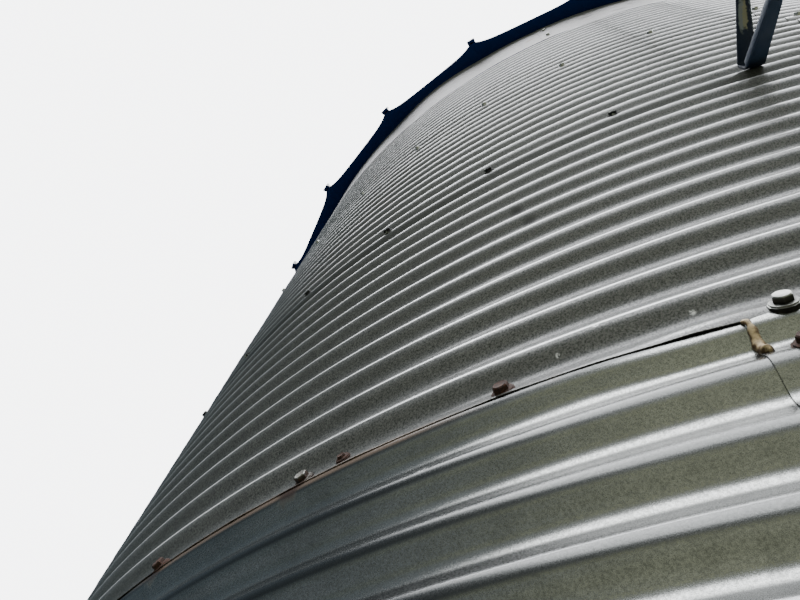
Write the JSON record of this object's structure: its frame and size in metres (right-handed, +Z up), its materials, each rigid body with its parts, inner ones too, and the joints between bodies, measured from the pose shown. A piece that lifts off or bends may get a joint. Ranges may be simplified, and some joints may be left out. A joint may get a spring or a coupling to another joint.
{
  "type": "grain silo",
  "caption": "Round corrugated galvanised grain bin with a plain eave band, ribbed cone roof, peak lid and outside ladder on V-shaped brackets.",
  "frame": {"origin": "on the ground, on the silo's vertical axis", "axes": "+Z up along the silo's axis; -Y points to the side that the picture was taken from; the ladder is 13 degrees from -Y toward +X"},
  "size_m": [4.9315, 4.983, 5.9261],
  "materials": {
    "galvanised_sheet": "spangled galvanising, weathered matt, corrugated",
    "eave_sheet": "plain pale galvanising",
    "roof_sheet": "galvanising, dark on its shaded underside",
    "galvanised_fittings": "dull hot-dip galvanising",
    "dark_steel": "dark blue-grey steel strap, worn pale on its edges"
  },
  "bodies": {
    "root": {"base_angle_1": "galvanised_fittings", "base_angle_2": "galvanised_fittings", "base_angle_3": "galvanised_fittings", "eave_band_sheet_1": "eave_sheet", "eave_band_sheet_2": "eave_sheet", "eave_band_sheet_3": "eave_sheet", "ladder": "galvanised_fittings", "ladder_bracket_lower_left": "dark_steel", "ladder_bracket_lower_right": "dark_steel", "ladder_bracket_upper_left": "dark_steel", "ladder_bracket_upper_right": "dark_steel", "roof_collar": "galvanised_fittings", "roof_lid": "galvanised_fittings", "roof_sector_1": "roof_sheet", "roof_sector_2": "roof_sheet", "roof_sector_3": "roof_sheet", "roof_sector_4": "roof_sheet", "roof_sector_5": "roof_sheet", "roof_sector_6": "roof_sheet", "roof_sector_7": "roof_sheet", "roof_sector_8": "roof_sheet", "roof_sector_9": "roof_sheet", "wall_ring_1_sheet_1": "galvanised_sheet", "wall_ring_1_sheet_2": "galvanised_sheet", "wall_ring_1_sheet_3": "galvanised_sheet", "wall_ring_2_sheet_1": "galvanised_sheet", "wall_ring_2_sheet_2": "galvanised_sheet", "wall_ring_2_sheet_3": "galvanised_sheet", "wall_ring_3_sheet_1": "galvanised_sheet", "wall_ring_3_sheet_2": "galvanised_sheet", "wall_ring_3_sheet_3": "galvanised_sheet", "wall_ring_4_sheet_1": "galvanised_sheet", "wall_ring_4_sheet_2": "galvanised_sheet", "wall_ring_4_sheet_3": "galvanised_sheet", "wall_ring_5_sheet_1": "galvanised_sheet", "wall_ring_5_sheet_2": "galvanised_sheet", "wall_ring_5_sheet_3": "galvanised_sheet"}
  },
  "joints": []
}
